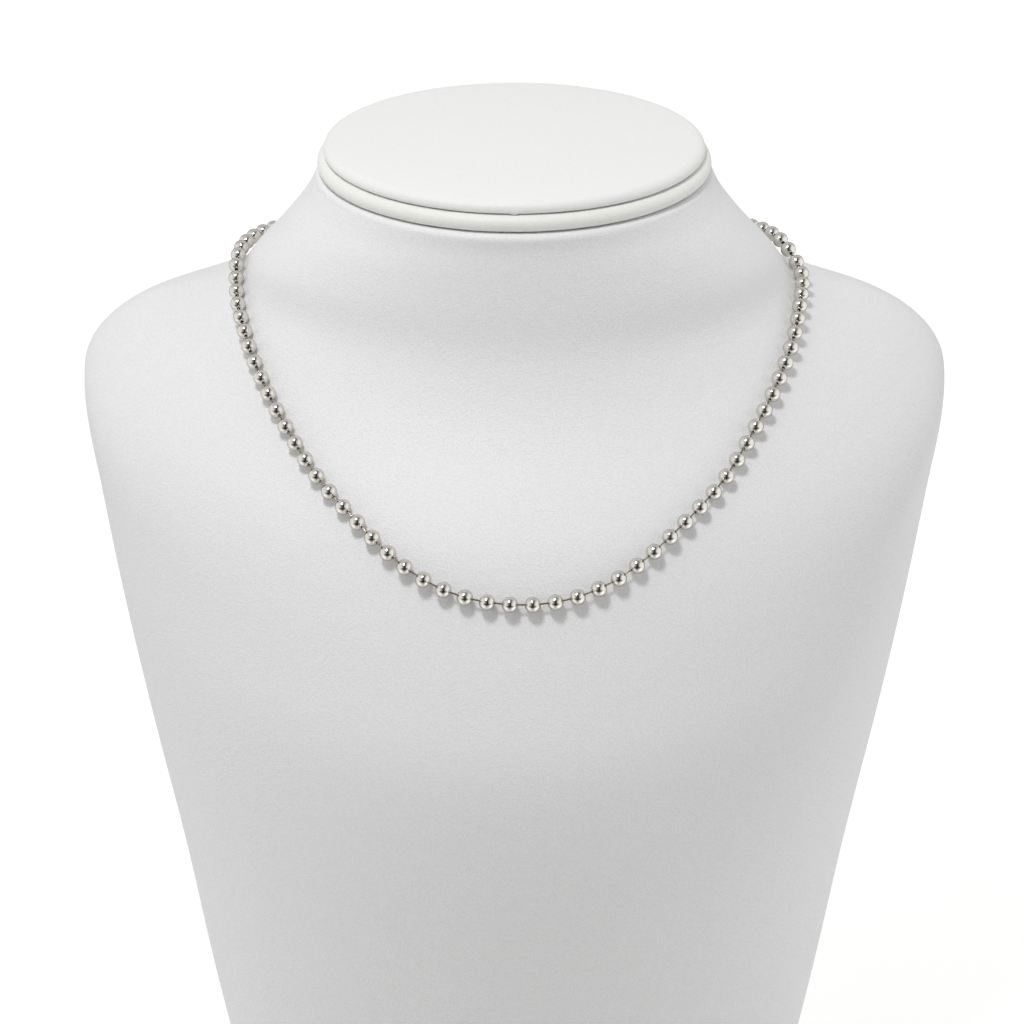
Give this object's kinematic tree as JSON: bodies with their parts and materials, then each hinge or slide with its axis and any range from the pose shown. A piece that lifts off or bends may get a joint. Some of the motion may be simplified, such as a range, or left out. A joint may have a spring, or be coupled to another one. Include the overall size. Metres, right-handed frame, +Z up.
{
  "type": "ball chain necklace on a neck bust display",
  "caption": "Silver ball chain necklace closed with a sleeve connector behind the neck, laid on a white leatherette neck bust with a rolled band and a padded cap on its neck.",
  "frame": {"origin": "middle of the bust's flat base, on the surface that it stands on", "axes": "+Z up along the bust, -Y towards the chest's front, +X to the right of one who looks at the chest"},
  "size_m": [0.226, 0.1751, 0.2673],
  "materials": {
    "bust_leatherette": "white leatherette with a fine pebbled grain",
    "band_leatherette": "smooth white leatherette round a soft roll",
    "cap_leatherette": "white leatherette over a thin pad",
    "ball_metal": "polished silver-coloured plating",
    "link_metal": "polished silver-coloured wire",
    "clasp_metal": "polished silver-coloured sleeve"
  },
  "bodies": {
    "root": {"bust_body": "bust_leatherette", "neck_band": "band_leatherette", "neck_cap": "cap_leatherette", "chain_balls": "ball_metal", "chain_links": "link_metal", "chain_clasp": "clasp_metal"}
  },
  "joints": []
}
